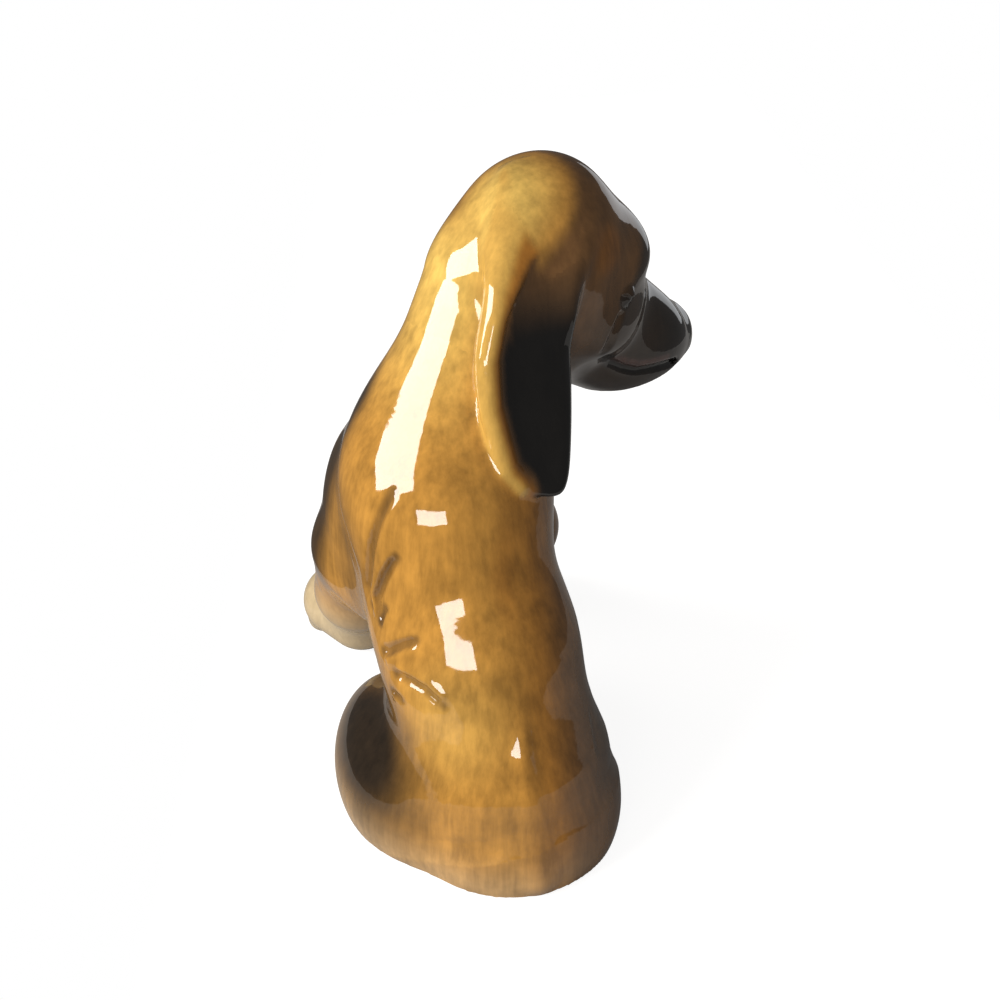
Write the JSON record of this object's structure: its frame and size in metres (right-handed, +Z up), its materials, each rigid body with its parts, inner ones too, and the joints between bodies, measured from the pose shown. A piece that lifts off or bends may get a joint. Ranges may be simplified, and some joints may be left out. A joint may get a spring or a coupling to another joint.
{
  "type": "dog figurine",
  "caption": "Glazed porcelain figurine of a sitting hound with long hanging ears, its head bowed and turned to its right; a hollow casting that stands on its flat base",
  "frame": {"origin": "on the floor under the middle of the figurine's outline", "axes": "+Z up, +Y the way the chest faces, +X towards the dog's right, the side that the head turns to"},
  "size_m": [0.0818, 0.0918, 0.1226],
  "materials": {
    "tan_glaze": "glossy clear glaze over golden tan brushed colour with soft black patches",
    "brown_glaze": "glossy clear glaze over brown colour, golden on the crown and near black on the muzzle",
    "dark_glaze": "glossy clear glaze over black-brown colour with a golden rear edge",
    "pale_glaze": "glossy clear glaze over tan that fades to pale beige at the foot"
  },
  "bodies": {
    "root": {"body_casting": "tan_glaze", "head_casting": "brown_glaze", "right_ear": "dark_glaze", "left_ear": "dark_glaze", "right_foreleg": "pale_glaze", "left_foreleg": "pale_glaze", "right_hind_foot": "pale_glaze", "left_hind_foot": "pale_glaze"}
  },
  "joints": []
}
